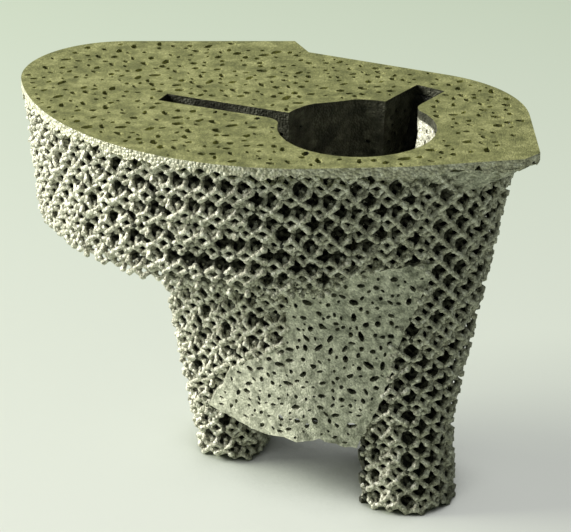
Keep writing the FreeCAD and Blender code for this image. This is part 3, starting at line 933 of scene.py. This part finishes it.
LIP_TOP = [(17.5, -24.4), (33.3, -21.7), (35.6, -19.4), (35.4, -6.0)]
LIP_ROOT = [(17.4, -22.1), (25.5, -19.7), (30.7, -14.5), (33.1, -6.0)]
LIP_LOW = 48.4
LIP_REACH = 35.5
LIP_INTO_PLATE = 0.1
LIP_HIGHEST = PLATE_BOTTOM + 0.2
LIP_ROUNDS = 4
LIP_LUMPS = 0.5
LIP_GRAINS = 0.25
lip = bmesh.new()
above = [lip.verts.new((x, y, PLATE_BOTTOM + LIP_INTO_PLATE)) for x, y in LIP_TOP]
below = [lip.verts.new((x, y, LIP_LOW)) for x, y in LIP_ROOT]
lip.faces.new(above)
lip.faces.new(below[::-1])
for k in range(len(above)):
    following = (k + 1) % len(above)
    lip.faces.new((above[k], below[k], below[following], above[following]))
bmesh.ops.recalc_face_normals(lip, faces=lip.faces)
bmesh.ops.triangulate(lip, faces=lip.faces)
for _ in range(LIP_ROUNDS):
    bmesh.ops.subdivide_edges(lip, edges=lip.edges[:], cuts=1, use_grid_fill=True)
    bmesh.ops.triangulate(lip, faces=lip.faces)
for vert in lip.verts:
    lumps = noise.noise_vector(vert.co * 0.9) * LIP_LUMPS
    vert.co += lumps + noise.noise_vector(vert.co * 2.4) * LIP_GRAINS
    vert.co.x, vert.co.z = min(vert.co.x, LIP_REACH), min(vert.co.z, LIP_HIGHEST)
keep_piece("lip_wedge", mesh_of(lip, "lip"), skin_titanium, smooth=False)

# Floor and light. The sheet is partly lit and partly glows, to the camera alone, and the glow
# ends under the object, where the open sky doesn't reach.

PAPER_FROM, PAPER_TO = -0.04, 0.24
GLOW_SHARE = 0.5
SKY_REACH = 24 * MM
SKY_DARK, SKY_OPEN = 0.3, 0.66
SKY_SAMPLES = 8
PAPER_ROUGHNESS = 0.8
FLOOR_HALF = 6.0
WORLD_LIGHT = 0.16

floor_material, tree, place = new_material("pale_paper")
along = add(tree, "ShaderNodeSeparateXYZ", {"Vector": place})
away = add(tree, "ShaderNodeMapRange",
           {"Value": along.outputs["Y"], "From Min": PAPER_FROM, "From Max": PAPER_TO})
sheet = add(tree, "ShaderNodeValToRGB", {"Fac": away.outputs["Result"]})
sheet.color_ramp.elements[0].color = linear("#fbfdf8")
sheet.color_ramp.elements[1].color = linear("#c6d8c0")
paper = add(tree, "ShaderNodeBsdfPrincipled",
            {"Base Color": linear("#c4ccbe"), "Roughness": PAPER_ROUGHNESS})
shade = add(tree, "ShaderNodeAmbientOcclusion", {"Distance": SKY_REACH}, samples=SKY_SAMPLES)
open_sky = add(tree, "ShaderNodeMapRange",
               {"Value": shade.outputs["AO"], "From Min": SKY_DARK, "From Max": SKY_OPEN})
glow = add(tree, "ShaderNodeEmission",
           {"Color": sheet.outputs["Color"], "Strength": open_sky.outputs["Result"]})
paths = add(tree, "ShaderNodeLightPath")
seen = add(tree, "ShaderNodeMath", {0: paths.outputs["Is Camera Ray"], 1: GLOW_SHARE},
           operation="MULTIPLY")
mixed = add(tree, "ShaderNodeMixShader",
            {"Fac": seen.outputs["Value"], 1: paper.outputs["BSDF"], 2: glow.outputs["Emission"]})
add(tree, "ShaderNodeOutputMaterial", {"Surface": mixed.outputs["Shader"]})
floor_mesh = bmesh.new()
bmesh.ops.create_grid(floor_mesh, x_segments=2, y_segments=2, size=FLOOR_HALF)
floor_data = mesh_of(floor_mesh, "floor")
floor_data.materials.append(floor_material)
floor = bpy.data.objects.new("floor", floor_data)
bpy.context.scene.collection.objects.link(floor)

world = bpy.data.worlds.new("studio")
world.use_nodes = True
bpy.context.scene.world = world
tree = world.node_tree
tree.nodes.clear()
paths = add(tree, "ShaderNodeLightPath")
glow = add(tree, "ShaderNodeMapRange",
           {"Value": paths.outputs["Is Camera Ray"], "To Min": WORLD_LIGHT, "To Max": 1.0})
backdrop = add(tree, "ShaderNodeBackground",
               {"Color": linear("#dbe4d6"), "Strength": glow.outputs["Result"]})
add(tree, "ShaderNodeOutputWorld", {"Surface": backdrop.outputs["Background"]})


def lamp(name, place, aim, side, power, colour):
    """A square lamp, turned to what it is aimed at."""
    data = bpy.data.lights.new(name, "AREA")
    data.size = side
    data.energy = power
    data.color = linear(colour)[:3]
    made = bpy.data.objects.new(name, data)
    made.location = place
    made.rotation_euler = (Vector(aim) - Vector(place)).to_track_quat("-Z", "Y").to_euler()
    bpy.context.scene.collection.objects.link(made)


lamp("window_left", place=(-0.82, 0.115, 0.51), aim=(0, 0, 0.03), side=0.5, power=18.4,
     colour="#fffef2")

bpy.context.scene.view_settings.view_transform = "Standard"

bpy.context.view_layer.update()
